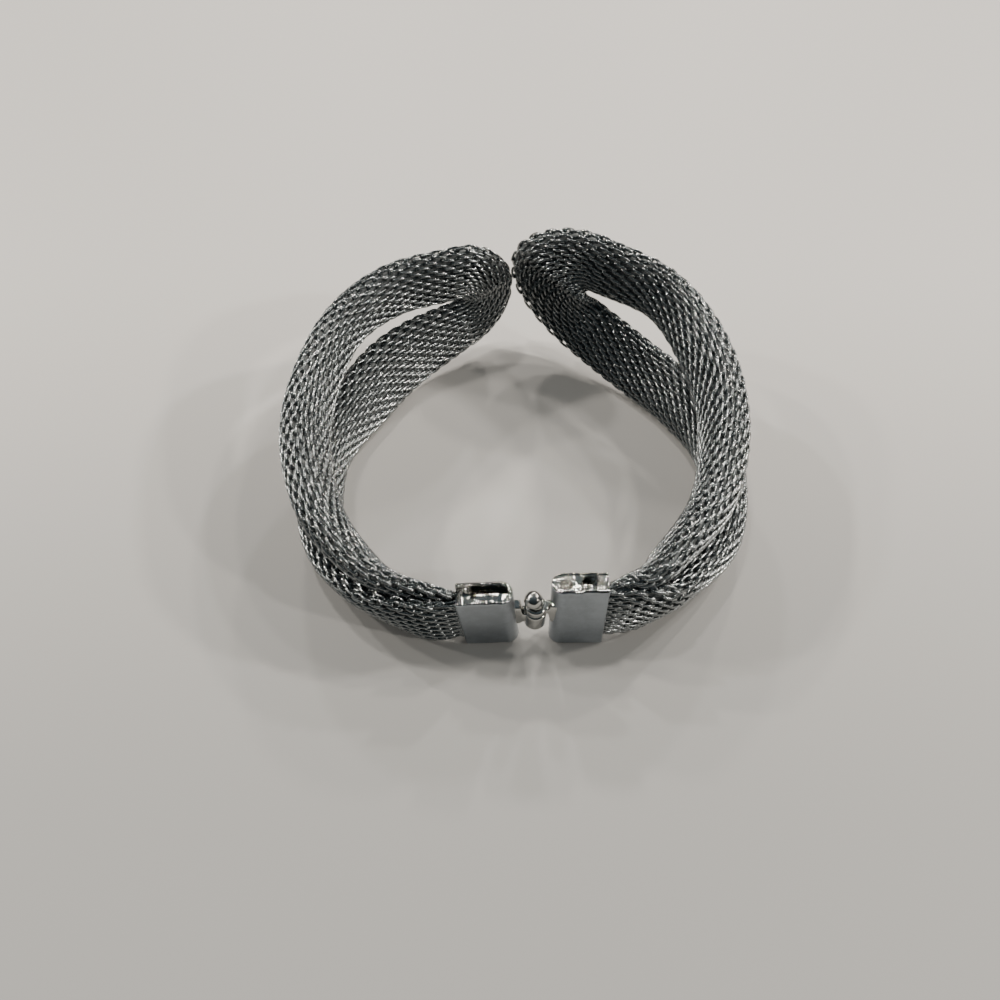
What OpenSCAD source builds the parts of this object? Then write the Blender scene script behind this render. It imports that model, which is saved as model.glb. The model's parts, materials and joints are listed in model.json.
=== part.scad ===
// A mesh bracelet lying on its side: two woven wire tubes, each doubled back on itself,
// with both ends pressed into an end cap. The two caps turn on one upright pin.
// Millimetres, +Z up, the hinge at the front (-Y) and the two free loops meeting at the back.

/* [Mesh band] */
// Distance from the middle of the wrist opening to the middle of the band
band_r = 30; // [27:0.5:36]
// Width of a woven tube where it is pressed flat
tube_w = 10.4; // [8:0.2:12]
// Depth of the woven wall
mesh_wall = 0.9; // [0.6:0.05:1.1]
// Thickness of a woven tube where a cap presses it flat
press_t = 1.1; // [0.8:0.05:1.8]

/* [End caps] */
// Length of each cap along the band
cap_l = 7.5; // [6:0.25:11]
// Sheet on the front and the back of a cap
cap_wall = 0.4; // [0.3:0.05:0.8]
// Metal over and under the mesh in a cap
cap_roof = 1.35; // [1:0.05:2.5]
// Length of mesh that a cap holds
grip = 2.5; // [1.5:0.25:4]
// Rim left round the recess on top of a cap
rim = 0.65; // [0.4:0.05:0.9]
// Metal left under the recess
recess_floor = 0.5; // [0.3:0.05:0.8]
// Length of the recess on the left cap
left_recess = 5.2; // [3:0.1:5.6]
// Length of the recess on the right cap
right_recess = 2.9; // [2.2:0.1:5]

/* [Hinge] */
// Radius of the hinge pin
pin_r = 0.7; // [0.5:0.05:1]
// Radius of the ball on top of the pin
ball_r = 1.25; // [1.1:0.05:1.8]
// Wall of a knuckle round the pin
knuckle_wall = 0.75; // [0.5:0.05:1.2]
// Height of the lower knuckle, on the left cap
low_h = 3.3; // [2:0.1:4]
// Height of the upper knuckle, on the right cap
high_h = 1.3; // [0.8:0.1:2.5]
// Thickness of the necks between the caps and the knuckles
neck_t = 1.6; // [1:0.1:2]
// Air between a knuckle and the end of a cap
hinge_air = 0.6; // [0.4:0.05:1.5]
// Height of the peened foot under the lower knuckle
foot_h = 0.4; // [0.3:0.05:1]

/* [Clearances] */
// Round the mesh inside a cap, and between its two layers
mesh_fit = 0.1; // [0.05:0.01:0.2]
// Between the pin and the knuckles, on the radius
pin_fit = 0.05; // [0.02:0.01:0.1]
// Between the two knuckles, along the pin
knuckle_gap = 0.25; // [0.1:0.05:0.5]

/* [How it sits] */
// Degrees that the left cap leans forward
left_lean = 3; // [-6:0.5:6]
// Degrees that the left cap tips towards its mesh
left_roll = 4.5; // [0:0.5:6]
// Degrees that the right cap leans back
right_lean = 4; // [-6:0.5:6]
// Degrees that the right cap tips towards the hinge
right_roll = 1; // [0:0.5:3]

/* [Hidden] */
$fn = 64;
LEFT = -1;
RIGHT = 1;
UPPER = 1;
LOWER = -1;

// The origin is under the middle of the whole bracelet; this is the middle of the wrist opening
mid_x = -0.026 * band_r;
mid_y = -0.067 * band_r;

// A cap holds two pressed layers of mesh, and the hinge stands a little right of the middle
cap_t = 2 * press_t + 3 * mesh_fit + 2 * cap_wall;
cap_h = tube_w + 2 * mesh_fit + 2 * cap_roof;
knuckle_r = pin_r + pin_fit + knuckle_wall;
cap_x = knuckle_r + hinge_air;
mouth_x = cap_x + cap_l;
hinge_x = mid_x + 0.093 * band_r;
hinge_y = mid_y - 0.962 * band_r;
hinge_z = (cap_h - low_h - knuckle_gap - high_h) / 2;
high_z = hinge_z + low_h + knuckle_gap;
ball_z = high_z + high_h + pin_fit + ball_r;
foot_r = pin_r + knuckle_wall / 2;
recess_h = cap_roof - recess_floor;

// Rings and sides of a mesh tube
STEPS = 4;
TURN_STEPS = 16;
SIDES = 24;
// Roundness of a tube's section: 2 is an ellipse, more is squarer
SQUARENESS = 2.2;
// Share of a layer's half thickness that its wall may fill
WALL_SHARE = 0.7;

// Columns of the two tables. A row is one section across both layers of a half:
// the angle from the front, the middle of the pair and how the upper layer stands on
// the lower one, then the lean and the half width and half thickness of each layer.
// Radii are shares of band_r, all other lengths are shares of tube_w.
ANGLE = 0;
MID_R = 1;
MID_Z = 2;
STACK = 3;
SPREAD = 4;
UP = 5;
LOW = 8;
LEAN = 0;
HALF_W = 1;
HALF_T = 2;

left_rows = [
//   angle  mid_r  mid_z  stack spread   up: lean half_w half_t   low: lean half_w half_t
    [ 24,   1.043, 0.655, 140, 0.252,       -6,  0.575, 0.106,        -6,  0.560, 0.106],
    [ 41,   1.070, 0.720, 108, 0.505,      -22,  0.465, 0.178,       -22,  0.450, 0.168],
    [ 62,   1.058, 0.755,  95, 0.764,      -20,  0.375, 0.269,       -20,  0.375, 0.260],
    [ 90,   1.020, 0.827,  81, 0.819,      -24,  0.375, 0.308,       -20,  0.404, 0.298],
    [118,   0.973, 1.082,  66, 1.067,      -32,  0.350, 0.274,       -24,  0.553, 0.202],
    [140,   0.972, 1.168,  71, 1.107,      -22,  0.400, 0.216,       -16,  0.572, 0.173],
    [163,   0.992, 1.178,  84, 0.958,       -8,  0.450, 0.163,        -6,  0.495, 0.163]];
right_rows = [
//   angle  mid_r  mid_z  stack spread   up: lean half_w half_t   low: lean half_w half_t
    [ 33,   1.064, 0.680, 146, 0.310,       -6,  0.585, 0.118,        -6,  0.570, 0.118],
    [ 42,   1.075, 0.752, 118, 0.546,      -20,  0.480, 0.178,       -20,  0.455, 0.178],
    [ 64,   1.097, 0.769, 111, 0.804,      -10,  0.375, 0.269,         0,  0.375, 0.269],
    [ 90,   1.080, 0.812,  98, 0.825,      -20,  0.394, 0.308,        -5,  0.404, 0.298],
    [112,   1.050, 0.966,  78, 0.994,      -30,  0.423, 0.260,       -24,  0.471, 0.231],
    [133,   1.040, 1.111,  67, 1.223,      -22,  0.413, 0.202,       -28,  0.490, 0.183],
    [154,   1.037, 1.279,  73, 1.065,      -10,  0.468, 0.202,       -18,  0.525, 0.163]];

// The fold at the tip of a loop: how far its outer edge and the end of the slit reach past
// the last row, how far it bends inwards and how much thicker the tube is there, all
// shares of tube_w.
REACH = 0;
NOSE = 1;
SAG = 2;
THICKER = 3;
left_tip = [0.91, 0.04, 0.05, 0.02];
right_tip = [1.43, 0.04, 0.2, 0.04];

function rows_of(side) = side == LEFT ? left_rows : right_rows;
function tip_of(side) = side == LEFT ? left_tip : right_tip;
function lean_of(side) = side == LEFT ? left_lean : -right_lean;
function roll_of(side) = side == LEFT ? left_roll : right_roll;
function unit(v) = v / norm(v);
function mix(a, b, t) = a + (b - a) * t;
function square_off(v) = sign(v) * pow(abs(v), 2 / SQUARENESS);

// Height that a tilted cap is lifted by, so that its lowest corner is on the table
function lift_of(side) =
    cap_t / 2 * abs(sin(lean_of(side)))
    - min([for (x = [cap_x, mouth_x]) side * x * sin(roll_of(side))]);

// A point of a cap, given as distance from the hinge, depth towards the wrist and height
function cap_point(side, x, y, z) =
    let (lean = lean_of(side),
         roll = roll_of(side),
         deep = y * cos(lean) - z * sin(lean),
         tall = y * sin(lean) + z * cos(lean))
    [hinge_x + side * x * cos(roll) - tall * sin(roll),
     hinge_y + deep,
     lift_of(side) + side * x * sin(roll) + tall * cos(roll)];

// Stations of a layer's middle line are [x, y, z, lean, half width, half thickness]
function cap_station(side, layer, x) =
    concat(cap_point(side, x, layer * (press_t + mesh_fit) / 2, cap_h / 2),
           [-lean_of(side), tube_w / 2, press_t / 2]);

function row_station(side, layer, row) =
    let (half = layer * row[SPREAD] * tube_w / 2,
         r = row[MID_R] * band_r + half * cos(row[STACK]),
         z = row[MID_Z] * tube_w + half * sin(row[STACK]),
         k = layer == UPPER ? UP : LOW)
    [mid_x + side * r * sin(row[ANGLE]), mid_y - r * cos(row[ANGLE]), z,
     row[k + LEAN], row[k + HALF_W] * tube_w, row[k + HALF_T] * tube_w];

function place(s) = [s[0], s[1], s[2]];

// Stations from the mouth of the cap to the last row, with one more at each end that
// only steers the curve: it leaves the cap straight, and runs on evenly at the tip
function stations(side, layer) =
    let (inner = cap_station(side, layer, mouth_x - grip),
         mouth = cap_station(side, layer, mouth_x + mesh_fit),
         rows = [for (row = rows_of(side)) row_station(side, layer, row)],
         step = norm(place(rows[0]) - place(mouth)),
         out = unit(place(mouth) - place(inner)) * step * 1.4,
         steer = [for (i = [0 : 5]) i < 3 ? rows[0][i] - out[i] : rows[0][i]],
         last = len(rows) - 1)
    concat([steer, mouth], rows, [2 * rows[last] - rows[last - 1]]);

// Smooth curve through four stations, from the second at t = 0 to the third at t = 1
function curve(p, q, r, s, t) =
    (2 * q + (r - p) * t + (2 * p - 5 * q + 4 * r - s) * t * t
     + (3 * q - p - 3 * r + s) * t * t * t) / 2;

function path(side, layer) =
    let (s = stations(side, layer), last = len(s) - 2)
    concat([cap_station(side, layer, mouth_x - grip)],
           [for (i = [1 : last - 1], k = [0 : STEPS - 1])
               curve(s[i - 1], s[i], s[i + 1], s[i + 2], k / STEPS)],
           [s[last]]);

// Frames are [place, width direction, outward direction, half width, half thickness, travel]
function layer_frames(side, layer) =
    let (p = path(side, layer), last = len(p) - 1)
    [for (i = [0 : last])
        let (t = unit(place(p[min(i + 1, last)]) - place(p[max(i - 1, 0)])),
             out = unit([side * t[1], -side * t[0], 0]),
             up = [0, 0, cos(p[i][3])] - out * sin(p[i][3]),
             w = unit(up - t * (up * t)))
        [place(p[i]), w, -side * cross(w, t), p[i][4], p[i][5], t]];

// In the fold the tube's outer edge and the edge along the slit each follow half an
// ellipse, from the upper layer's end round to the lower layer's end
function fold_frames(side, u, l) =
    let (tip = tip_of(side) * tube_w,
         outer_up = u[0] + u[1] * u[3],
         outer_low = l[0] - l[1] * l[3],
         slit_up = u[0] - u[1] * u[3],
         slit_low = l[0] + l[1] * l[3])
    [for (k = [1 : TURN_STEPS - 1])
        let (a = 180 * k / TURN_STEPS,
             s = (1 - cos(a)) / 2,
             ahead = unit(mix(u[5], l[5], s)) * sin(a),
             out = mix(u[2], l[2], s),
             swell = pow(sin(a), 2),
             bend = out * tip[SAG] * swell,
             outer = mix(outer_up, outer_low, s) + ahead * tip[REACH] - bend,
             slit = mix(slit_up, slit_low, s) + ahead * tip[NOSE] - bend,
             w = unit(outer - slit))
        [(outer + slit) / 2, w, unit(out - w * (out * w)), norm(outer - slit) / 2,
         mix(u[4], l[4], s) + tip[THICKER] * swell]];

function frames(side) =
    let (u = layer_frames(side, UPPER), l = layer_frames(side, LOWER), last = len(l) - 1)
    concat(u, fold_frames(side, u[last], l[last]),
           [for (i = [last : -1 : 0]) [l[i][0], -l[i][1], l[i][2], l[i][3], l[i][4]]]);

// Points of one ring of a skin; depth is how far the skin lies inside the outer one
function ring(side, f, depth) =
    [for (k = [0 : SIDES - 1])
        let (a = -side * 360 * k / SIDES)
        f[0] + f[1] * (f[3] - depth) * square_off(cos(a))
             + f[2] * (f[4] - depth) * square_off(sin(a))];

function wall_at(f) = min(mesh_wall, WALL_SHARE * f[4]);

// Two triangles for each cell between rings i and i + 1 of the skin that starts at a point
function skin_faces(start, count, inside) =
    [for (i = [0 : count - 2], k = [0 : SIDES - 1], half = [0, 1])
        let (n = (k + 1) % SIDES,
             a = start + i * SIDES + k,
             b = start + i * SIDES + n,
             face = half == 0 ? [a, b, b + SIDES] : [a, b + SIDES, a + SIDES])
        inside ? [face[2], face[1], face[0]] : face];

// Flat rim that joins the outer and the inner skin at one end
function rim_faces(outer, inner, turned) =
    [for (k = [0 : SIDES - 1], half = [0, 1])
        let (n = (k + 1) % SIDES,
             face = half == 0 ? [outer + k, inner + n, outer + n]
                              : [outer + k, inner + k, inner + n])
        turned ? [face[2], face[1], face[0]] : face];

module mesh_tube(side) {
    f = frames(side);
    count = len(f);
    outer = [for (g = f) each ring(side, g, 0)];
    inner = [for (g = f) each ring(side, g, wall_at(g))];
    start = count * SIDES;
    end = (count - 1) * SIDES;
    polyhedron(
        points = concat(outer, inner),
        faces = concat(
            skin_faces(0, count, false),
            skin_faces(start, count, true),
            rim_faces(0, start, false),
            rim_faces(end, start + end, true)),
        convexity = 8);
}

// A slot with round ends, standing on z = 0, from x = 0 to its length
module slot(length, width, height) {
    r = width / 2;
    for (x = [r, length - r])
        translate([x, 0, 0])
            cylinder(r = r, h = height);
    translate([r, -r, 0])
        cube([length - width, width, height]);
}

// A cap in its own frame, from the hinge axis outwards: round towards the hinge,
// with a pocket for the pressed mesh at the mouth and a recess on top
module cap_body(recess_x, recess_l) {
    over = 1;
    difference() {
        union() {
            translate([cap_x + cap_t / 2, 0, 0])
                cylinder(r = cap_t / 2, h = cap_h);
            translate([cap_x + cap_t / 2, -cap_t / 2, 0])
                cube([cap_l - cap_t / 2, cap_t, cap_h]);
        }
        translate([mouth_x - grip - mesh_fit, -cap_t / 2 + cap_wall, cap_roof])
            cube([grip + mesh_fit + over, cap_t - 2 * cap_wall, cap_h - 2 * cap_roof]);
        translate([recess_x, 0, cap_h - recess_h])
            slot(recess_l, cap_t - 2 * rim, recess_h + over);
    }
}

module set_cap(side) {
    translate([hinge_x, hinge_y, lift_of(side)])
        rotate([lean_of(side), -roll_of(side), 0])
            children();
}

// A knuckle round the pin and the neck that joins it to its cap
module knuckle(side, z, h) {
    reach = cap_x + cap_t / 2;
    translate([hinge_x, hinge_y, z]) {
        cylinder(r = knuckle_r, h = h);
        translate([side == LEFT ? -reach : 0, -neck_t / 2, 0])
            cube([reach, neck_t, h]);
    }
}

module pin_bore() {
    over = 1;
    translate([hinge_x, hinge_y, hinge_z - over])
        cylinder(r = pin_r + pin_fit, h = high_z + high_h - hinge_z + 2 * over);
}

module left_end_cap() {
    color("silver")
    difference() {
        union() {
            set_cap(LEFT)
                mirror([1, 0, 0])
                    cap_body(cap_x + rim, left_recess);
            knuckle(LEFT, hinge_z, low_h);
        }
        pin_bore();
    }
}

module right_end_cap() {
    color("silver")
    difference() {
        union() {
            set_cap(RIGHT)
                cap_body(mouth_x - rim - right_recess, right_recess);
            knuckle(RIGHT, high_z, high_h);
        }
        pin_bore();
    }
}

// The pin, with the ball that rests on the upper knuckle and a foot under the lower one
module hinge_pin() {
    bottom = hinge_z - pin_fit - foot_h;
    color("gainsboro")
    translate([hinge_x, hinge_y, 0])
    union() {
        translate([0, 0, bottom])
            cylinder(r = pin_r, h = ball_z - bottom);
        translate([0, 0, bottom])
            cylinder(r = foot_r, h = foot_h);
        translate([0, 0, ball_z])
            sphere(r = ball_r);
    }
}

module left_mesh() {
    color("slategray") mesh_tube(LEFT);
}

module right_mesh() {
    color("slategray") mesh_tube(RIGHT);
}

left_mesh();
right_mesh();
left_end_cap();
right_end_cap();
hinge_pin();
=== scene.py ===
"""A mesh bracelet: woven wire tubes, end caps and a ball-topped hinge, in metres."""
import json
import math

import bmesh
import bpy
import numpy as np
from bpy.props import FloatProperty, FloatVectorProperty, IntProperty, PointerProperty
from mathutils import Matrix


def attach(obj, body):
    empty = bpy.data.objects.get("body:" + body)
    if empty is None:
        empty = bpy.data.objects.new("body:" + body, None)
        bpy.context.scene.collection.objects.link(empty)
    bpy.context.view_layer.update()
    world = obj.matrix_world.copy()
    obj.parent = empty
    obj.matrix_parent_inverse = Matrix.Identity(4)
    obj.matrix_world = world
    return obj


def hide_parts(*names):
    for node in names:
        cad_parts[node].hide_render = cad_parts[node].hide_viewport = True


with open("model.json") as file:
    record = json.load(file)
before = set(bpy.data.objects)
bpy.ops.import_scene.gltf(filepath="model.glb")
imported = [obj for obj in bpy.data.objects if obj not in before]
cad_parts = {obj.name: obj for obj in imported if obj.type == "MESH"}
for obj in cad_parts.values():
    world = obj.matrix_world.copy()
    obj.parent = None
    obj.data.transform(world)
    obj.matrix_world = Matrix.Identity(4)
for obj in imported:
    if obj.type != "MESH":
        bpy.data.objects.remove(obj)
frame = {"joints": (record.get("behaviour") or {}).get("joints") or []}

bl_info = {
    "name": "Mesh bracelet",
    "version": (1, 0, 0),
    "blender": (4, 5, 0),
    "location": "View3D > Sidebar > Bracelet",
    "description": "Builds the woven tubes, the end caps and the hinge of a mesh bracelet",
    "category": "Add Mesh",
}

MM = 0.001
LEFT, RIGHT = -1, 1
UPPER, LOWER = 1, -1
BODIES = {LEFT: "left_half", RIGHT: "right_half"}
NODES = {LEFT: "left_mesh", RIGHT: "right_mesh"}
CAPS = {LEFT: "left_end_cap", RIGHT: "right_end_cap"}
WORDS = {LEFT: "left", RIGHT: "right"}

# The hinge axis of the solids gives the place of everything on the caps
HINGE_X, HINGE_Y = frame["joints"][0]["pos_m"][:2]
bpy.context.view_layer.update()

# Sections of the two tubes, the same shares as the solids have. A row holds the angle
# from the front, the middle of the pair of layers and how the upper one stands on the
# lower one, then the lean, half width and half thickness of the upper and lower layers.
# Radii are shares of the band radius, all other lengths are shares of the tube width.
ANGLE, MID_R, MID_Z, STACK, SPREAD = range(5)
FORM = {UPPER: slice(5, 8), LOWER: slice(8, 11)}
ROWS = {
    LEFT: np.array([
        [24, 1.043, 0.655, 140, 0.252, -6, 0.575, 0.106, -6, 0.56, 0.106],
        [41, 1.070, 0.720, 108, 0.505, -22, 0.465, 0.178, -22, 0.450, 0.168],
        [62, 1.058, 0.755, 95, 0.764, -20, 0.375, 0.269, -20, 0.375, 0.260],
        [90, 1.020, 0.827, 81, 0.819, -24, 0.375, 0.308, -20, 0.404, 0.298],
        [118, 0.973, 1.082, 66, 1.067, -32, 0.350, 0.274, -24, 0.553, 0.202],
        [140, 0.972, 1.168, 71, 1.107, -22, 0.400, 0.216, -16, 0.572, 0.173],
        [163, 0.992, 1.178, 84, 0.958, -8, 0.450, 0.163, -6, 0.495, 0.163]]),
    RIGHT: np.array([
        [33, 1.064, 0.680, 146, 0.310, -6, 0.585, 0.118, -6, 0.570, 0.118],
        [42, 1.075, 0.752, 118, 0.546, -20, 0.480, 0.178, -20, 0.455, 0.178],
        [64, 1.097, 0.769, 111, 0.804, -10, 0.375, 0.269, 0, 0.375, 0.269],
        [90, 1.080, 0.812, 98, 0.825, -20, 0.394, 0.308, -5, 0.404, 0.298],
        [112, 1.050, 0.966, 78, 0.994, -30, 0.423, 0.260, -24, 0.471, 0.231],
        [133, 1.040, 1.111, 67, 1.223, -22, 0.413, 0.202, -28, 0.490, 0.183],
        [154, 1.037, 1.279, 73, 1.065, -10, 0.468, 0.202, -18, 0.525, 0.163]]),
}
# The fold at a tip, in shares of the tube width: how far its outer edge and the end of
# the slit reach past the last row, how far it bends inwards and how much it thickens
TIPS = {LEFT: (0.91, 0.04, 0.05, 0.02), RIGHT: (1.43, 0.04, 0.2, 0.04)}
# Sections from row to row and along a fold, and points round each section
LAYER_STEPS, FOLD_STEPS, AROUND = 20, 110, 96
# The crease across a fold: depth, fold angle at which it lies, and the degrees over which
# it sinks above and below that angle
CREASES = {LEFT: (0.7 * MM, 88, 12, 30), RIGHT: (1.4 * MM, 86, 10, 38)}
# How far the weave is drawn out along a tube: share of its length, share of the mean pitch
DRAWN_OUT = np.array([[0, 0.95], [0.2, 0.98], [0.38, 1.12], [0.5, 1.0],
                      [0.6, 0.86], [0.75, 0.88], [1, 0.95]])
# Sections from the middle of a fold at which the slit's edges are drawn back no more, and
# the number of sections before that over which they come back
SLIT_SECTIONS, SLIT_FADE = 135, 40
# Place before the mouth of the point that steers a path out of the cap, as a share of the
# way from the mouth to the first row
STEER = 1.4
# Most of a tube's half thickness that the coils fill, and the least depth left to them
FILLED, LEAST_DEPTH = 0.92, 0.05 * MM
# Width of a coil where the coils crowd: so many wires and so many distances between coils
CROWDED_WIRES, CROWDED_SPACES = 1.1, 1.6
# Power of a coil's outward swing: below 1 it lies longer on the crests
SWING = 0.7
# Seeds of the random draws
COARSE_SEED, FINE_SEED, WEAVE_SEED, BALL_SEED, WAVE_SEED = 3, 4, 5, 6, 8
# Angles of the steps round an edge, and points round a cap
EDGE = np.linspace(0, math.pi / 2, 7)
CAP_STEPS = 260
# Depth of the hollow shown at a cap's mouth, and how far down the shapes of its top reach
POCKET, TOP_DEPTH = 0.9 * MM, 1.1 * MM
# Share of solder on the straps and the knuckles
SOLDERED = 0.9
# Scratches in a metre, as the scale of their noise
SCRATCH_SCALE = 1500.0
# Half the table's width, and how far behind and before its middle the table's tone changes
# from its painted shadow near the viewer to its plain colour
TABLE_HALF, TABLE_FADE = 1500 * MM, 60 * MM
# Tone and height in metres of the lamps over the desk, then place, size and watts of each
LAMP_TONE = (1.0, 0.91, 0.82)
LAMP_Z = 1.5
LAMPS = [
    (2.4, 0.45, 0.15, 40.0),
    (2.4, -0.9, 0.15, 31.0),
    (1.35, 1.5, 0.1, 15.5),
    (1.35, 0.75, 0.1, 10.0),
    (0.9, 0.6, 0.1, 5.0),
    (0.6, 2.4, 0.15, 18.0),
    (-0.3, 0.45, 0.1, 5.4),
    (-0.45, 2.25, 0.15, 16.5),
    (-1.65, 1.35, 0.1, 18.0),
    (-1.8, 0.75, 0.1, 14.5),
    (-2.4, 0.45, 0.15, 20.0),
]


def length(name, description, value):
    """A size property with a default in millimetres."""
    return FloatProperty(name=name, description=description, default=value * MM,
                         unit="LENGTH", precision=5)


def number(name, description, value, **limits):
    """A plain number property."""
    return FloatProperty(name=name, description=description, default=value, **limits)


def degrees(name, description, value):
    """An angle property with a default in degrees."""
    return FloatProperty(name=name, description=description,
                         default=math.radians(value), subtype="ANGLE")


def colour(name, description, *value):
    """A colour property."""
    return FloatVectorProperty(name=name, description=description, default=value,
                               subtype="COLOR", min=0, max=1)


class BandSizes(bpy.types.PropertyGroup):
    """Sizes of the two woven tubes."""

    band_r: length("Band radius", "Middle of the wrist opening to middle of the band", 30)
    tube_w: length("Tube width", "Width of a tube where it is pressed flat", 10.4)
    press_t: length("Pressed thickness", "Thickness of a tube inside a cap", 1.1)
    mesh_fit: length("Mesh fit", "Air round the mesh inside a cap", 0.1)
    mid_x: number("Middle X", "Share of the band radius", -0.026)
    mid_y: number("Middle Y", "Share of the band radius", -0.067)
    squareness: number("Squareness", "2 is an ellipse", 2.2)


class WeaveSizes(bpy.types.PropertyGroup):
    """Sizes of the coiled wires that make the mesh."""

    wire_d: length("Wire", "Diameter of the wire", 0.46)
    coil_w: length("Coil width", "Width of a coil along the tube, to its wire's middle", 2.2)
    coil_h: length("Coil depth", "Depth of a coil, to its wire's middle", 0.6)
    pitch: length("Pitch", "Mean distance between coils along the tube", 1.4)
    longest_pitch: length("Longest pitch", "Distance at which the mesh is drawn tight", 1.62)
    columns: IntProperty(name="Columns", description="Turns of a coil round the tube",
                         default=16, min=6)
    stroke: number("Straightness", "How straight a turn runs along the tube before it hooks",
                   0.6, min=0, max=1)
    # Depth of the dark sheet that paints the shade inside a tube
    shade_sheet: length("Lining", "Depth of the lining under the middle of the coils", 0.28)
    stand_out: length("Stand-out", "How far the crests stand out of the tube's skin", 0.35)
    slit: length("Slit", "How far the edges along the slit are drawn back", 0.38)
    uneven: number("Unevenness", "Share by which turns differ", 0.06, min=0, max=1)


class CapSizes(bpy.types.PropertyGroup):
    """Sizes of the end caps."""

    cap_l: length("Length", "Length of a cap along the band", 7.5)
    cap_wall: length("Wall", "Sheet on the front and the back of a cap", 0.4)
    cap_roof: length("Roof", "Metal over and under the mesh", 1.35)
    grip: length("Grip", "Length of mesh that a cap holds", 2.5)
    edge_r: length("Edge", "Rounding of the edges", 0.28)
    left_lean: degrees("Left lean", "Forward lean of the left cap", 3)
    right_lean: degrees("Right lean", "Forward lean of the right cap", -4)
    left_roll: degrees("Left roll", "Tip of the left cap towards its mesh", 4.5)
    right_roll: degrees("Right roll", "Tip of the right cap towards the hinge", 1)


class HingeSizes(bpy.types.PropertyGroup):
    """Sizes of the hinge."""

    pin_r: length("Pin", "Radius of the pin", 0.7)
    pin_fit: length("Pin fit", "Air round the pin", 0.05)
    ball_r: length("Ball", "Radius of the ball on top", 1.25)
    ball_off: length("Ball offset", "How far the ball sits towards the left cap", 0.4)
    knuckle_wall: length("Knuckle wall", "Wall of a knuckle", 0.75)
    low_h: length("Lower knuckle", "Height of the lower knuckle", 3.3)
    high_h: length("Upper knuckle", "Height of the upper knuckle", 1.3)
    neck_t: length("Neck", "Thickness of the necks", 1.6)
    air: length("Hinge air", "Air between a knuckle and the end of a cap", 0.6)
    foot_h: length("Foot", "Height of the peened foot", 0.4)
    gap: length("Gap", "Gap between the knuckles", 0.25)


class Finishes(bpy.types.PropertyGroup):
    """Colours of the metals and the table."""

    wire: colour("Wire", "Bare wire on the crests of the mesh", 0.195, 0.215, 0.223)
    # Oxide and painted shade: the wire is darker down in the mesh than on its crests
    oxide_and_shade: colour("Oxide", "Darkened wire down in the mesh", 0.13, 0.148, 0.153)
    # Colour of the sheet of painted shade behind the mesh
    shade_sheet: colour("Lining", "Depth of the tube behind the mesh", 0.22, 0.245, 0.252)
    # Partly painted reflection: the plate's tone is darker and bluer for the blue-grey shaded
    # table that the caps' fronts reflect
    plate: colour("Plate", "Plated metal of the caps", 0.42, 0.46, 0.50)
    solder: colour("Solder", "Solder in the recesses", 0.60, 0.595, 0.565)
    # Colour of the painted shade in the pits, the trench, the mouth's pocket and on the back rim
    painted_shade_tone: colour("Flux", "Burnt flux in the pits", 0.05, 0.045, 0.035)
    pin: colour("Pin", "Polished metal of the hinge", 0.56, 0.56, 0.54)
    table: colour("Table", "Table top", 0.62, 0.62, 0.60)
    # Painted shadow: the table near the viewer is darker, where the viewer's shadow falls
    table_painted_shadow: colour("Table front", "Table top near the viewer", 0.355, 0.365, 0.36)


class Stage(bpy.types.PropertyGroup):
    """Camera, lights and table."""

    focal: number("Focal length", "Lens, in mm on a 36 mm sensor", 27.04)
    elevation: degrees("Elevation", "Camera's height above the horizon", 55)
    distance: length("Distance", "Camera to the point that it looks at", 121)
    look_x: length("Look at X", "Point on the table in the middle of the picture", -2.78)
    look_y: length("Look at Y", "Point on the table in the middle of the picture", -7.51)
    sky: number("Room light", "Strength of the even light", 0.13)
    lamp: number("Lamps", "Strength of all lamps", 1.0)


class BraceletSettings(bpy.types.PropertyGroup):
    """All sizes and finishes of the bracelet."""

    band: PointerProperty(type=BandSizes)
    weave: PointerProperty(type=WeaveSizes)
    cap: PointerProperty(type=CapSizes)
    hinge: PointerProperty(type=HingeSizes)
    finish: PointerProperty(type=Finishes)
    stage: PointerProperty(type=Stage)


def settings():
    """The bracelet's settings in this scene."""
    return bpy.context.scene.bracelet


def unit(v):
    """Vectors scaled to length one along the last axis."""
    return v / np.linalg.norm(v, axis=-1, keepdims=True)


def mix(a, b, t):
    """The value a share t of the way from a to b."""
    return a + (b - a) * t


def smooth(t):
    """A soft step from 0 to 1, with t held between 0 and 1."""
    t = np.clip(t, 0, 1)
    return t * t * (3 - 2 * t)


def hump(d, width):
    """A bell curve: 1 where d is 0, falling off over the width."""
    return np.exp(-(d / width) ** 2)


def spot(x, y, width):
    """A round bell curve: 1 where x and y are 0, falling off over the width."""
    return hump(np.hypot(x, y), width)


def powered(wave, power):
    """A wave with its size raised to a power, which squares it off where that is under 1."""
    return np.sign(wave) * np.abs(wave) ** power


def circle(n):
    """Even angles round a circle."""
    return np.linspace(0, 2 * math.pi, n, endpoint=False)


def outward(skin):
    """Directions square to a skin of rings, out of the tube: the way along the tube crossed
    with the way round it."""
    along = np.gradient(skin, axis=0)
    across = np.roll(skin, -1, 1) - np.roll(skin, 1, 1)
    return unit(np.cross(along, across))


def cap_depth():
    """Front to back size of a cap: two pressed layers, three clearances and two walls."""
    s = settings()
    return 2 * s.band.press_t + 3 * s.band.mesh_fit + 2 * s.cap.cap_wall


def cap_height():
    """Height of a cap: the tube's width, two clearances and two roofs."""
    s = settings()
    return s.band.tube_w + 2 * s.band.mesh_fit + 2 * s.cap.cap_roof


def knuckle_radius():
    """Outer radius of a knuckle: the pin, its clearance and the wall."""
    h = settings().hinge
    return h.pin_r + h.pin_fit + h.knuckle_wall


def cap_start():
    """Distance from the hinge axis to the round end of a cap."""
    return knuckle_radius() + settings().hinge.air


def mouth():
    """Distance from the hinge axis to the open end of a cap."""
    return cap_start() + settings().cap.cap_l


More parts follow.
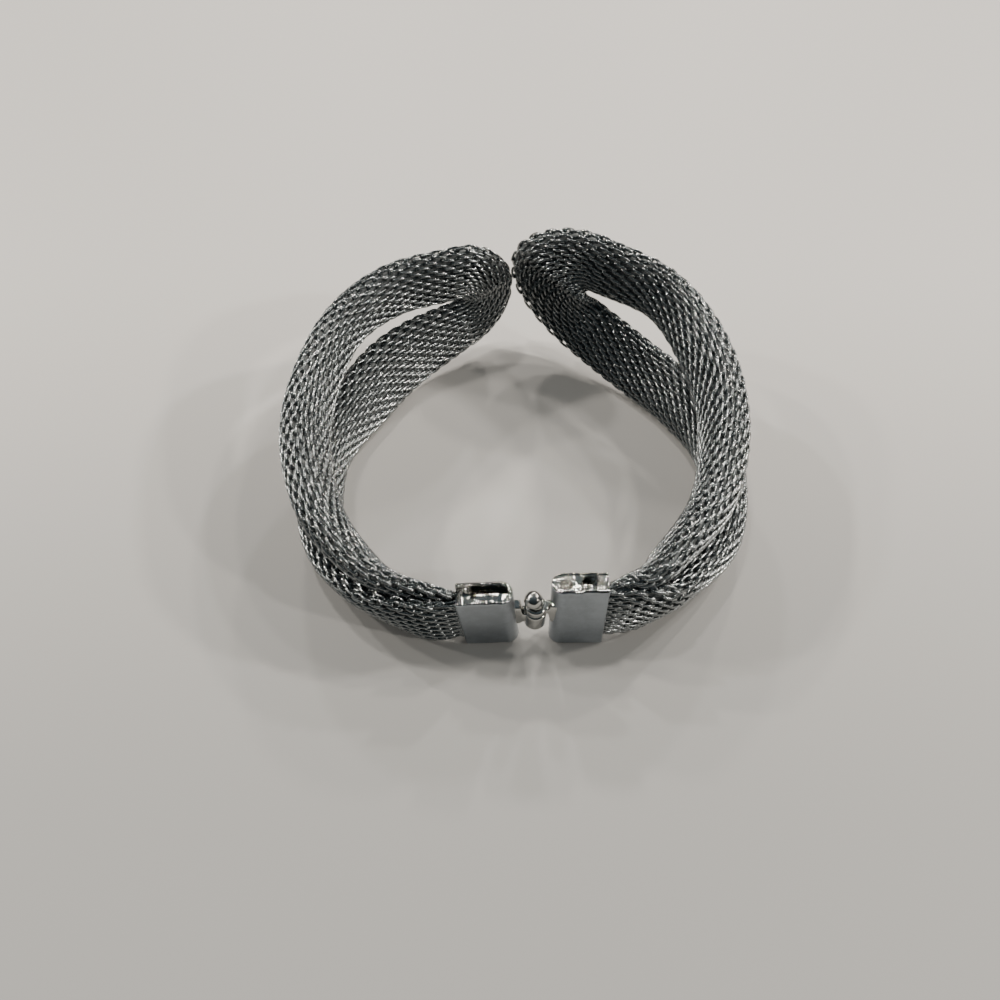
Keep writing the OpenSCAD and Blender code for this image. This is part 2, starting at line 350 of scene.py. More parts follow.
def knuckle_base():
    """Height of the lower knuckle's underside: both knuckles with the gap between them
    stand in the middle of a cap's height."""
    h = settings().hinge
    return (cap_height() - h.low_h - h.gap - h.high_h) / 2


def tilt(side):
    """Lean and roll of a cap."""
    c = settings().cap
    return (c.left_lean, c.left_roll) if side == LEFT else (c.right_lean, c.right_roll)


def in_cap(side, points):
    """Points of a cap, given as distance from the hinge, depth towards the wrist and
    height. They lean about X, roll about Y, rise until the cap's lowest corner is on the
    table and move to the hinge."""
    lean, roll = tilt(side)
    x, y, z = np.moveaxis(np.asarray(points, float), -1, 0)
    ends = side * np.array([cap_start(), mouth()]) * math.sin(roll)
    lift = cap_depth() / 2 * abs(math.sin(lean)) - ends.min()
    deep = y * math.cos(lean) - z * math.sin(lean)
    tall = y * math.sin(lean) + z * math.cos(lean)
    return np.stack([HINGE_X + side * x * math.cos(roll) - tall * math.sin(roll),
                     HINGE_Y + deep,
                     lift + side * x * math.sin(roll) + tall * math.cos(roll)], -1)


def layer_path(side, layer):
    """Middle line of one layer as rows of place, lean, half width and half thickness: a
    straight stretch inside the cap, then a Catmull-Rom curve through the rows of the
    table. The point before the mouth only steers it straight out of the cap, and the
    point after the last row is that row's neighbour mirrored."""
    b = settings().band
    rows = ROWS[side]
    half = layer * rows[:, SPREAD] * b.tube_w / 2
    stack = np.radians(rows[:, STACK])
    angle = np.radians(rows[:, ANGLE])
    r = rows[:, MID_R] * b.band_r + half * np.cos(stack)
    z = rows[:, MID_Z] * b.tube_w + half * np.sin(stack)
    form = rows[:, FORM[layer]] * [1, b.tube_w, b.tube_w]
    stations = np.column_stack([b.mid_x * b.band_r + side * r * np.sin(angle),
                                b.mid_y * b.band_r - r * np.cos(angle), z, form])
    deep = layer * (b.press_t + b.mesh_fit) / 2
    ends = [mouth() - settings().cap.grip, mouth() + b.mesh_fit]
    inner, out = in_cap(side, [[x, deep, cap_height() / 2] for x in ends])
    lean = -math.degrees(tilt(side)[0])
    pressed = [lean, b.tube_w / 2, b.press_t / 2]
    step = np.linalg.norm(stations[0, :3] - out)
    steer = stations[0].copy()
    steer[:3] -= STEER * step * unit(out - inner)
    p = np.vstack([steer, [*out, *pressed], stations, 2 * stations[-1] - stations[-2]])
    t = np.linspace(0, 1, LAYER_STEPS, endpoint=False)[None, :, None]
    a, q, c, d = (p[i:len(p) - 3 + i, None] for i in range(4))
    curve = (2 * q + (c - a) * t + (2 * a - 5 * q + 4 * c - d) * t ** 2
             + (3 * q - a - 3 * c + d) * t ** 3) / 2
    held = mix(np.r_[inner, pressed], np.r_[out, pressed],
               np.linspace(0, 1, LAYER_STEPS // 2, endpoint=False)[:, None])
    return np.vstack([held, curve.reshape(-1, 6), p[-2]])


def layer_frames(side, layer):
    """Frames of one layer: place, width direction, outward direction, travel, half width
    and half thickness. The width direction stands upright, leans by the path's angle and
    is then squared to the travel."""
    p = layer_path(side, layer)
    travel = unit(np.gradient(p[:, :3], axis=0))
    out = unit(np.column_stack([side * travel[:, 1], -side * travel[:, 0], 0 * travel[:, 0]]))
    lean = np.radians(p[:, 3:4])
    up = np.array([0, 0, 1]) * np.cos(lean) - out * np.sin(lean)
    wide = unit(up - travel * (up * travel).sum(1, keepdims=True))
    return [p[:, :3], wide, -side * np.cross(wide, travel), travel, p[:, 4], p[:, 5]]


def fold_frames(side, u, l):
    """Frames of the fold at a tip. The tube's outer edge and the edge along the slit each
    follow half an ellipse from the end of the upper layer round to the lower layer."""
    reach, nose, sag, thicker = np.array(TIPS[side]) * settings().band.tube_w
    a = (np.arange(1, FOLD_STEPS) * math.pi / FOLD_STEPS)[:, None]
    s = (1 - np.cos(a)) / 2
    swell = np.sin(a) ** 2
    ahead = unit(mix(u[3], l[3], s)) * np.sin(a)
    out = mix(u[2], l[2], s)
    bend = out * sag * swell
    outer = mix(u[0] + u[1] * u[4], l[0] - l[1] * l[4], s) + ahead * reach - bend
    slit = mix(u[0] - u[1] * u[4], l[0] + l[1] * l[4], s) + ahead * nose - bend
    wide = unit(outer - slit)
    out = unit(out - wide * (out * wide).sum(1, keepdims=True))
    half_w = np.linalg.norm(outer - slit, axis=1) / 2
    half_t = (mix(u[5], l[5], s) + thicker * swell)[:, 0]
    return [(outer + slit) / 2, wide, out, None, half_w, half_t]


def tube_frames(side):
    """Frames of a whole tube: the upper layer, the fold and the lower layer backwards."""
    u, l = layer_frames(side, UPPER), layer_frames(side, LOWER)
    fold = fold_frames(side, [x[-1] for x in u], [x[-1] for x in l])
    signs = [1, -1, 1, 1, 1, 1]
    return [np.concatenate([u[i], fold[i], signs[i] * l[i][::-1]]) for i in (0, 1, 2, 4, 5)]


def tube_skin(side, frames, depth):
    """Rings of a tube that lie a depth inside its outer skin, with points evenly spaced
    along each ring. A ring is a squared ellipse: cosine and sine of the angle raised to
    two over the squareness, times the half width and the half thickness."""
    place, wide, out, half_w, half_t = frames
    a = -side * np.linspace(0, 2 * math.pi, 4 * AROUND + 1)
    power = 2 / settings().band.squareness
    c, s = powered(np.cos(a), power), powered(np.sin(a), power)
    ring = (place[:, None] + wide[:, None] * ((half_w - depth)[:, None] * c)[..., None]
            + out[:, None] * ((half_t - depth)[:, None] * s)[..., None])
    step = np.linalg.norm(np.diff(ring, axis=1), axis=2)
    run = np.concatenate([np.zeros((len(ring), 1)), np.cumsum(step, 1)], 1)
    even = np.linspace(0, 1, AROUND, endpoint=False)
    at = np.array([np.interp(even * r[-1], r, np.arange(len(r))) for r in run])
    i = at.astype(int)
    rows = np.arange(len(ring))[:, None]
    return mix(ring[rows, i], ring[rows, i + 1], (at - i)[..., None])


def creased(side, skin):
    """The rings of a tube with the crease where its fold is pinched on the wrist side. The
    mesh sinks by a bell curve of the fold angle, steep on the upper side of the crease and
    shallow on the lower side, and less towards the two edges of the tube."""
    deep, angle, above, below = CREASES[side]
    ahead = (len(skin) - FOLD_STEPS + 1) // 2
    turn = (np.arange(len(skin)) - ahead + 1) * 180 / FOLD_STEPS - angle
    fall = hump(turn, np.where(turn < 0, above, below))[:, None]
    inner = np.clip(side * np.sin(circle(AROUND)), 0, 1) ** 0.7
    return skin - outward(skin) * (deep * fall * inner)[..., None]


def core_surface(side):
    """The surface in which the coils of a tube lie, as rings, and half their depth. Near the
    fold, the edges along the slit are drawn back so that the coils leave it open."""
    w = settings().weave
    frames = tube_frames(side)
    deep = np.minimum(w.coil_h + w.wire_d, FILLED * frames[4])
    skin = creased(side, tube_skin(side, frames, deep / 2 - w.stand_out))
    from_fold = np.abs(np.arange(len(skin)) - (len(skin) - 1) / 2)
    share = smooth((SLIT_SECTIONS - from_fold) / SLIT_FADE)[:, None]
    share = share * np.clip(-np.cos(circle(AROUND)), 0, 1)
    skin = skin + frames[1][:, None] * (w.slit * share)[..., None]
    return skin, np.maximum((deep - w.wire_d) / 2, LEAST_DEPTH)


def lookup(grid, u, v):
    """Values of a grid of rings at ring numbers u and at shares v of the way round, mixed
    from the four nearest points."""
    n, m = grid.shape[:2]
    u = np.clip(u, 0, n - 1.001)
    i = u.astype(int)
    w = (v % 1) * m
    j = w.astype(int) % m
    k = (j + 1) % m
    fu = (u - i)[..., None]
    fv = (w - np.floor(w))[..., None]
    return mix(mix(grid[i, j], grid[i + 1, j], fu), mix(grid[i, k], grid[i + 1, k], fu), fv)


def coil_rings(skin):
    """Ring numbers at which the coils lie. They are a pitch apart along the middle of the
    tube, less or more where the mesh is pressed together or drawn out, and never further
    apart than the longest pitch where the fold stretches the outer edge."""
    w = settings().weave
    mid = np.linalg.norm(np.diff(skin.mean(1), axis=0), axis=1)
    edge = np.linalg.norm(np.diff(skin, axis=0), axis=2).max(1)
    share = np.cumsum(mid) / mid.sum()
    pitch = w.pitch * np.interp(share, *DRAWN_OUT.T)
    count = np.r_[0, np.cumsum(np.maximum(mid / pitch, edge / w.longest_pitch))]
    coils = np.arange(0.5, count[-1] - 0.4)
    return np.interp(coils, count, np.arange(len(count)))


def coil_wires(side, skin, half_depth, segments):
    """Middle lines of all the coils of a tube, and how far out each point lies from 0 to
    1. A coil is a flat spiral bent into a ring round the tube. Along the tube it swings as
    half its width times the cosine of the turn, outwards as half its depth times the
    squared-off sine, and round the tube it advances by one column a turn, faster at the
    hooks than on the strokes. Each coil starts half a turn later than the one before, so
    that its hooks catch its neighbour's. Its width shrinks where the coils crowd."""
    w = settings().weave
    random = np.random.default_rng(WEAVE_SEED + side)
    rings = coil_rings(skin)
    each = np.gradient(rings)[:, None]
    per_ring = np.linalg.norm(np.gradient(skin, axis=0), axis=2, keepdims=True)
    turn = np.linspace(0, 2 * math.pi * w.columns, w.columns * segments, endpoint=False)
    start = math.pi * (np.arange(len(rings)) + w.uneven * random.normal(size=len(rings)))
    at = np.broadcast_to(rings[:, None], (len(rings), len(turn)))
    v = (turn + w.stroke / 2 * np.sin(2 * turn) - start[:, None]) / (2 * math.pi * w.columns)
    space = lookup(per_ring, at, v)[..., 0]
    width = np.minimum(w.coil_w, CROWDED_WIRES * w.wire_d + CROWDED_SPACES * space * each)
    wave = np.repeat(random.normal(size=(len(rings), w.columns)), segments, 1)
    soft = np.ones(segments) / segments
    wave = np.array([np.convolve(np.r_[x, x], soft, "same")[:len(turn)] for x in wave])
    width = width * (1 + w.uneven * wave)
    u = at + width / 2 * np.cos(turn) / space
    rise = powered(np.sin(turn), SWING)
    half = np.interp(rings, np.arange(len(half_depth)), half_depth)[:, None]
    line = lookup(skin, u, v) + lookup(outward(skin), u, v) * (half * rise)[..., None]
    line[..., 2] = np.maximum(line[..., 2], w.wire_d / 2)
    return line, lookup(skin, at, v), np.broadcast_to(rise / 2 + 0.5, v.shape)


def wire_loops(line, core, radius, sides):
    """Points of round wires along closed middle lines: circles set square to each line,
    measured from the direction in which the coil's core lies."""
    travel = unit(np.roll(line, -1, 1) - np.roll(line, 1, 1))
    out = line - core
    out = unit(out - travel * (out * travel).sum(-1, keepdims=True))
    across = np.cross(travel, out)
    a = circle(sides)[:, None]
    return (line[:, :, None] + radius * (np.cos(a) * out[:, :, None]
                                         + np.sin(a) * across[:, :, None]))


def grid_faces(n, m, close_n=False):
    """Four-sided faces of a grid of n rows and m columns. The last column joins the first,
    and the last row may join the first as well."""
    i = np.arange(n if close_n else n - 1)[:, None]
    j = np.arange(m)[None]
    k, l = (i + 1) % n, (j + 1) % m
    return np.stack([i * m + j, i * m + l, k * m + l, k * m + j], -1).reshape(-1, 4)


def facing_out(points, faces):
    """Faces turned so that the volume that they enclose is positive."""
    a, b, c, d = (points[faces[:, i]] for i in range(4))
    volume = (np.cross(a, b) * c).sum() + (np.cross(a, c) * d).sum()
    return faces if volume > 0 else faces[:, ::-1]


def shell(grid, close_n=False, **values):
    """One closed surface out of a grid of points: points, outward faces and attributes."""
    points = grid.reshape(-1, 3)
    faces = grid_faces(*grid.shape[:2], close_n)
    flat = {key: np.broadcast_to(value, grid.shape[:2]).ravel() for key, value in values.items()}
    return points, facing_out(points, faces), flat


def joined(shells):
    """Several surfaces as one: all their points, faces and attributes."""
    starts = np.cumsum([0] + [len(points) for points, _, _ in shells])
    points = np.concatenate([points for points, _, _ in shells])
    faces = np.concatenate([faces + start for (_, faces, _), start in zip(shells, starts)])
    keys = {key for _, _, values in shells for key in values}
    values = {key: np.concatenate([value.get(key, np.zeros(len(p))) for p, _, value in shells])
              for key in sorted(keys)}
    return points, faces, values


def weld(thing):
    """Merges points that lie on each other, which closes poles and seams."""
    shape = bmesh.new()
    shape.from_mesh(thing.data)
    bmesh.ops.remove_doubles(shape, verts=shape.verts, dist=0.0005 * MM)
    shape.to_mesh(thing.data)
    shape.free()


def add_object(name, data):
    """A new object at the origin of the scene."""
    thing = bpy.data.objects.new(name, data)
    bpy.context.scene.collection.objects.link(thing)
    return thing


def make_mesh(name, points, faces, values=None):
    """A smooth mesh object at the origin, with number attributes on its points."""
    mesh = bpy.data.meshes.new(name)
    mesh.vertices.add(len(points))
    mesh.vertices.foreach_set("co", np.ascontiguousarray(points, np.float32).ravel())
    mesh.loops.add(faces.size)
    mesh.loops.foreach_set("vertex_index", faces.astype(np.int32).ravel())
    mesh.polygons.add(len(faces))
    width = faces.shape[1]
    mesh.polygons.foreach_set("loop_start", np.arange(0, faces.size, width, dtype=np.int32))
    mesh.polygons.foreach_set("use_smooth", np.ones(len(faces), bool))
    mesh.update(calc_edges=True)
    for key, value in (values or {}).items():
        attribute = mesh.attributes.new(key, "FLOAT", "POINT")
        attribute.data.foreach_set("value", np.ascontiguousarray(value, np.float32).ravel())
    return add_object(name, mesh)


def lumps(points, scale, seed):
    """Soft unevenness between -1 and 1: the mean of waves in random directions, whose
    lengths lie round the scale."""
    random = np.random.default_rng(seed)
    way = unit(random.normal(size=(16, 3))) / (scale * random.uniform(0.6, 1.7, (16, 1)))
    phase = random.uniform(0, 2 * math.pi, 16)
    return np.sin(2 * math.pi * (points @ way.T) + phase).mean(-1) * 2


def cap_outline():
    """Outline of a cap from above, in even steps: half round at the hinge, straight along
    the front and the back, and square with small round corners at the mouth."""
    r = cap_depth() / 2
    c = settings().cap.edge_r
    end = mouth()
    middle = cap_start() + r
    corner = np.linspace(0, math.pi / 2, 9)
    bend = np.linspace(math.pi / 2, math.pi, 40)
    x = np.r_[end, end - c + c * np.cos(corner), middle + r * np.cos(bend)]
    y = np.r_[0, r - c + c * np.sin(corner), r * np.sin(bend)]
    x, y = np.r_[x, x[-2::-1]], np.r_[y, -y[-2::-1]]
    run = np.r_[0, np.cumsum(np.hypot(np.diff(x), np.diff(y)))]
    at = np.linspace(0, run[-1], CAP_STEPS, endpoint=False)
    return np.stack([np.interp(at, run, x), np.interp(at, run, y)], -1)


def left_top(x, y, edge):
    """Height of the left cap's top in mm over its roof, and its painted shade. Solder beads
    lie on the rims, a trench is left behind the floor, and a blob closes the mouth. Painted
    shade darkens the trench and a pit, and a painted dark reflection lines the back rim."""
    rim = np.where(y > 0, 0.6, 0.3)
    inside = smooth((edge - rim) / 0.14)
    ragged = 0.18 * np.sin(3.1 * x + 0.6) + 0.1 * np.sin(7.3 * x)
    trench = smooth((y - 0.02 - 0.6 * ragged) / 0.22) * smooth((7.9 + ragged - x) / 0.6)
    floor = 0.34 + 0.1 * (y + 0.6) + 0.1 * ragged + 0.75 * trench
    floor = floor + 0.55 * hump(x - 7.35, 0.3) * hump(y + 0.1, 0.35)
    floor = floor + 0.7 * smooth((x - 8.6) / 0.9)
    blob = 0.75 * spot(x - 8.35, y - 0.65, 0.55) + 0.35 * spot(x - 7.9, y - 0.3, 0.3)
    bead = 0.22 * hump(edge - 0.36, 0.26) * smooth((y + 0.5) / 0.4) * (1 + 3 * ragged)
    # Painted shade in the trench and a pit, and a painted dark reflection along the back rim
    burnt = inside * trench + 0.7 * spot(x - 7.35, y + 0.1, 0.35)
    burnt = burnt + 0.6 * smooth((y - 1.1) / 0.2)
    return bead + blob - inside * floor, np.clip(burnt, 0, 1)


def right_top(x, y, edge):
    """Height of the right cap's top in mm over its roof, and its painted shade: a dented ring
    near the hinge, a pin hole, and a shallow recess with a deep corner and a blob. Painted
    shade darkens the hole, the ring's groove and the recess, and a painted dark reflection
    lines the back rim."""
    ring = np.hypot(x - 4.05, y + 0.35)
    dent = 0.12 * hump(ring - 0.95, 0.2) - 0.36 * hump(ring - 0.55, 0.2) - 0.12 * hump(ring, 0.12)
    dent = dent - 0.22 * hump(x - 5.6, 0.5) * hump(y + 1.2, 0.5)
    hole = spot(x - 6.1, y + 0.4, 0.2)
    along = np.maximum(np.abs(x - 7.5) - 0.45, 0)
    inside = smooth((1.0 - np.hypot(along, y)) / 0.2)
    corner = hump(x - 6.75, 0.45) * hump(y - 0.55, 0.4)
    blob = spot(x - 7.9, y + 0.15, 0.42)
    bead = 0.2 * hump(edge - 0.34, 0.25) * smooth((x - 5.5) / 1.0)
    high = dent - 0.6 * hole - inside * (0.36 + 0.6 * corner) + 0.62 * blob + bead
    # Painted shade in the hole, the ring's groove and the recess, none on the blob, and a painted
    # dark reflection along the back rim
    burnt = hole + 0.5 * hump(ring - 0.55, 0.16) + inside * (0.3 + corner) - blob
    return high, np.clip(burnt + 0.7 * smooth((y - 0.95) / 0.2), 0, 1)


TOPS = {LEFT: left_top, RIGHT: right_top}


def cap_body(side):
    """Body of a cap as loops of its outline, drawn in towards its spine by the distances of
    a rounded profile. The top follows its height function and the mouth has a pocket."""
    c = settings().cap
    r = cap_depth() / 2
    tall = cap_height()
    e = c.edge_r
    rise, fall = e * np.sin(EDGE), e - e * np.cos(EDGE)
    flat = np.linspace(e, r, 56)
    under, over = flat[::-5], flat[1:]
    wall = np.linspace(e, tall - e, 48)[1:-1]
    drawn = np.r_[under, e - rise, 0 * wall, fall, over]
    z = np.r_[0 * under, fall, wall, tall - e + rise, 0 * over + tall]
    outline = cap_outline()
    spine_x = np.clip(outline[:, 0], cap_start() + r, mouth() - r)
    spine = np.stack([spine_x, 0 * spine_x], -1)
    flat_xy = mix(outline[None], spine[None], (drawn / r)[:, None, None])
    z = np.broadcast_to(z[:, None], flat_xy.shape[:2])
    x, y = flat_xy[..., 0], flat_xy[..., 1]
    edge = r - np.hypot(np.maximum(cap_start() + r - x, 0), y)
    high, burnt = TOPS[side](x / MM, y / MM, edge / MM)
    top = smooth((z - tall + TOP_DEPTH) / MM)
    level = flat_xy @ np.eye(2, 3)
    coarse = lumps(level, 1.6 * MM, COARSE_SEED)
    rough = 0.15 * coarse + 0.03 * lumps(level, 0.6 * MM, FINE_SEED)
    solder = np.maximum(top * smooth(drawn / (0.1 * MM))[:, None], smooth((y + 0.2 * MM) / MM))
    place = np.stack([x, y, z + top * (high + rough) * MM], -1)
    hollow = (x > mouth() - 0.01 * MM) * smooth((r - c.cap_wall - np.abs(y)) / (0.15 * MM))
    for inside in (z - c.cap_roof, tall - c.cap_roof - z):
        hollow = hollow * smooth(inside / (0.2 * MM))
    place[..., 0] -= POCKET * hollow
    wave = lumps(place, 4.0 * MM, WAVE_SEED + side) * 0.03 * MM * (1 - top) * smooth(z / MM)
    place[..., 1] += wave * np.sign(y)
    # The pocket at the mouth takes painted shade as well
    return shell(in_cap(side, place), solder=solder, burnt=top * burnt + hollow)


def turned(r, z, steps):
    """A surface turned round the hinge's axis from a profile of radii and heights."""
    r, z = r[:, None], z[:, None]
    a = circle(steps)
    return np.stack([HINGE_X + r * np.cos(a), HINGE_Y + r * np.sin(a), z + 0 * a], -1)


def rim(out, low, high, e):
    """Radii and heights of the outside of a disc from low to high, with round edges."""
    return (np.r_[out - e + e * np.sin(EDGE), out - e + e * np.cos(EDGE)],
            np.r_[low + e - e * np.cos(EDGE), high - e + e * np.sin(EDGE)])


def knuckle(low, high):
    """A bored knuckle with round edges."""
    h = settings().hinge
    bore = h.pin_r + h.pin_fit
    r, z = rim(knuckle_radius(), low, high, 0.35 * MM)
    ring = turned(np.r_[bore, r, bore], np.r_[low, z, high], 64)
    return shell(ring, close_n=True, solder=SOLDERED)


def lug(side, low, high, low_end, high_end):
    """The strap from a knuckle to its cap: rounded box sections whose height grows from the
    knuckle's to a larger one at the cap. The first and the last are drawn to a point."""
    h = settings().hinge
    start, end = 0.9 * MM, cap_start() + 1.2 * MM
    x = np.r_[start, start, np.linspace(0.95 * MM, end, 22), end]
    grow = smooth((x - knuckle_radius() - 0.1 * MM) / (0.55 * MM))
    bottom, top = mix(low, low_end, grow), mix(high, high_end, grow)
    a = circle(48)
    c, s = powered(np.cos(a), 0.3), powered(np.sin(a), 0.3)
    size = np.ones(len(x))
    size[[0, -1]] = 0
    z = (bottom + top)[:, None] / 2 + (size * (top - bottom) / 2)[:, None] * s
    y = HINGE_Y + size[:, None] * h.neck_t / 2 * c
    return shell(np.stack([HINGE_X + side * x[:, None] + 0 * z, y, z], -1), solder=SOLDERED)


def dress(thing, body, slot, material, *nodes):
    """Gives a piece its material, sets it on its body and hides what it replaces. The slot is not
    used.
    """
    thing.data.materials.append(material)
    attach(thing, body)
    if nodes:
        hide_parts(*nodes)


class Shader:
    """Short words for adding nodes to a material or a node group."""

    def __init__(self, tree):
        self.tree = tree

    def put(self, node, values):
        """Sets a node's inputs, given as numbers, or as outputs that are linked to them."""
        for key, value in values.items():
            if isinstance(value, bpy.types.NodeSocket):
                self.tree.links.new(value, node.inputs[key])
            else:
                node.inputs[key].default_value = value
        return node

    def add(self, kind, values=None, **options):
        """A new node with its options and its inputs set."""
        node = self.tree.nodes.new(kind)
        for key, value in options.items():
            setattr(node, key, value)
        return self.put(node, values or {})

    def math(self, operation, *values):
        """The output of a Math node."""
        return self.add("ShaderNodeMath", dict(enumerate(values)), operation=operation).outputs[0]

    def blend(self, share, a, b):
        """The colour a share of the way from a to b."""
        a, b = (x if isinstance(x, bpy.types.NodeSocket) else (*x, 1) for x in (a, b))
        return self.add("ShaderNodeMix", {0: share, 6: a, 7: b}, data_type="RGBA").outputs[2]

    def noise(self, where, scale, detail, roughness=0.5):
        """The value of a noise texture."""
        return self.add("ShaderNodeTexNoise", {"Vector": where, "Scale": scale, "Detail": detail,
                                               "Roughness": roughness}).outputs[0]

    def attribute(self, name):
        """A number that the points of the mesh carry."""
        return self.add("ShaderNodeAttribute", attribute_name=name).outputs["Fac"]

    def bump(self, strength, distance, height):
        """The normal that a height gives."""
        return self.add("ShaderNodeBump", {"Strength": strength, "Distance": distance,
                                           "Height": height}).outputs[0]

    def band(self, value, low, high):
        """A soft step of a value from 0 at low to 1 at high."""
        node = self.add("ShaderNodeMapRange", {"Value": value, "From Min": low, "From Max": high},
                        interpolation_type="SMOOTHSTEP")
        return node.outputs["Result"]


def node_group(name, *outputs):
    """A new shader node group that takes a place and a scale and gives numbers: its
    Shader, its inputs and its node for the results."""
    tree = bpy.data.node_groups.new(name, "ShaderNodeTree")
    for key, kind in (("Vector", "NodeSocketVector"), ("Scale", "NodeSocketFloat")):
        tree.interface.new_socket(key, in_out="INPUT", socket_type=kind)
    for key in outputs:
        tree.interface.new_socket(key, in_out="OUTPUT", socket_type="NodeSocketFloat")
    shader = Shader(tree)
    return shader, shader.add("NodeGroupInput").outputs, shader.add("NodeGroupOutput")


def tarnish_group():
    """Cloudy tarnish: two noises of different size make a mask from 0 to 1, and the finer
    one is also the small grain that breaks up the gloss."""
    if "tarnish" in bpy.data.node_groups:
        return bpy.data.node_groups["tarnish"]
    s, given, result = node_group("tarnish", "Mask", "Grain")
    large = s.noise(given["Vector"], given["Scale"], 3.0, 0.6)
    fine = s.noise(given["Vector"], s.math("MULTIPLY", given["Scale"], 7.0), 4.0, 0.65)
    both = s.math("MULTIPLY_ADD", large, 0.75, s.math("MULTIPLY", fine, 0.25))
    s.put(result, {"Mask": s.band(both, 0.36, 0.66), "Grain": fine})
    return s.tree


def scratch_group():
    """Fine scratches: two noises stretched along different directions, each made a height
    of 1 with thin grooves where it passes its middle value, and then multiplied."""
    if "scratches" in bpy.data.node_groups:
        return bpy.data.node_groups["scratches"]
    s, given, result = node_group("scratches", "Height")
    parts = []
    for turn, stretch in ((0.35, 0.06), (1.9, 0.09)):
        place = s.add("ShaderNodeMapping", {"Vector": given["Vector"],
                                            "Rotation": (0.2, turn, turn),
                                            "Scale": (1, stretch, 1)}).outputs[0]
        off = s.math("SUBTRACT", s.noise(place, given["Scale"], 2.0), 0.5)
        parts.append(s.band(s.math("ABSOLUTE", off), 0.0, 0.03))
    s.put(result, {"Height": s.math("MULTIPLY", *parts)})
    return s.tree


def new_material(name, roughness, metallic=1.0):
    """An empty material with a Principled BSDF, its Shader and the object's coordinates."""
    material = bpy.data.materials.new(name)
    material.use_nodes = True
    s = Shader(material.node_tree)
    bsdf = material.node_tree.nodes["Principled BSDF"]
    s.put(bsdf, {"Roughness": roughness, "Metallic": metallic})
    where = s.add("ShaderNodeTexCoord").outputs["Object"]
    return material, s, bsdf, where


def place_group(s, group, where, scale):
    """The outputs of a group placed in a material."""
    return s.add("ShaderNodeGroup", {"Vector": where, "Scale": scale}, node_tree=group).outputs


def wire_material():
    """Steel wire: dark oxide and painted shade down in the mesh, bare on the crests, under a
    glossy coat.
    """
    f = settings().finish
    material, s, bsdf, where = new_material("woven steel wire", 0.3)
    tarnish = place_group(s, tarnish_group(), where, 140.0)
    worn = s.math("MULTIPLY_ADD", tarnish["Mask"], -0.4, 1.0)
    # Below the crests the wire is darkened by oxide and by painted shade
    bare_and_unshaded = s.math("MULTIPLY", s.band(s.attribute("crest"), 0.25, 0.95), worn)
    s.put(bsdf, {"Base Color": s.blend(bare_and_unshaded, f.oxide_and_shade, f.wire),
                 "Roughness": s.math("MULTIPLY_ADD", tarnish["Grain"], 0.3, 0.12),
                 "Normal": s.bump(0.25, 0.03 * MM, tarnish["Grain"]),
                 "Coat Weight": 1.0, "Coat IOR": 1.8, "Coat Roughness": 0.07})
    return material


def shade_sheet_material():
    """Painted shade inside a tube, as a dull dark skin."""
    f = settings().finish
    material, s, bsdf, where = new_material("tube lining", 0.8, 0.0)
    tarnish = place_group(s, tarnish_group(), where, 300.0)
    dark = tuple(0.5 * x for x in f.shade_sheet)
    s.put(bsdf, {"Base Color": s.blend(tarnish["Mask"], f.shade_sheet, dark)})
    return material


def plate_material(name, tone, roughness, scale):
    """Plated metal with cloudy tarnish and fine scratches."""
    material, s, bsdf, where = new_material(name, roughness)
    tarnish = place_group(s, tarnish_group(), where, scale)
    scratch = place_group(s, scratch_group(), where, SCRATCH_SCALE)["Height"]
    dull = tuple(0.72 * x for x in tone)
    height = s.math("ADD", s.math("MULTIPLY", scratch, 0.5), tarnish["Grain"])
    s.put(bsdf, {"Base Color": s.blend(tarnish["Mask"], tone, dull),
                 "Roughness": s.math("MULTIPLY_ADD", tarnish["Mask"], 0.14, roughness),
                 "Normal": s.bump(0.18, 0.04 * MM, height)})
    return material


def cap_material():
    """Satin plate on the sides, bright solder on top, and painted shade in the pits, the
    trench, the mouth's pocket and along the back rim.
    """
    f = settings().finish
    material, s, bsdf, where = new_material("plated cap", 0.3)
    tarnish = place_group(s, tarnish_group(), where, 260.0)
    scratch = place_group(s, scratch_group(), where, SCRATCH_SCALE)["Height"]
    solder = s.attribute("solder")
    dull = tuple(0.8 * x for x in f.plate)
    metal = s.blend(solder, s.blend(tarnish["Mask"], f.plate, dull), f.solder)
    # Painted shade: the mask darkens the metal towards the shade colour
    dark = s.math("MULTIPLY", s.attribute("burnt"), 0.85)
    rough = s.math("MULTIPLY_ADD", solder, -0.23, 0.29)
    height = s.math("ADD", s.math("MULTIPLY", scratch, 0.4), tarnish["Grain"])
    s.put(bsdf, {"Base Color": s.blend(dark, metal, f.painted_shade_tone),
                 "Roughness": s.math("MULTIPLY_ADD", tarnish["Mask"], 0.06, rough),
                 "Normal": s.bump(0.15, 0.04 * MM, height)})
    return material


class BRACELET_OT_tubes(bpy.types.Operator):
    """Weave the two mesh tubes out of coiled wires"""

    bl_idname = "bracelet.tubes"
    bl_label = "Mesh tubes"

    def execute(self, context):
        w = settings().weave
        material = wire_material()
        for side in (LEFT, RIGHT):
            line, core, crest = coil_wires(side, *core_surface(side), segments=12)
            points = wire_loops(line, core, w.wire_d / 2, sides=6)
            cut = len(points) // 2
            for word, part in (("upper", slice(0, cut)), ("lower", slice(cut, None))):
                p = points[part]
                coils, around, sides = p.shape[:3]
                loop = grid_faces(around, sides, close_n=True)
                start = np.arange(coils)[:, None, None] * around * sides
                faces = facing_out(p.reshape(-1, 3), (loop[None] + start).reshape(-1, 4))
                value = np.repeat(crest[part].ravel(), sides)
                thing = make_mesh(f"{NODES[side]}_{word}", p.reshape(-1, 3), faces,
                                  {"crest": value})
                dress(thing, BODIES[side], "wire_mesh", material, NODES[side])
        return {"FINISHED"}


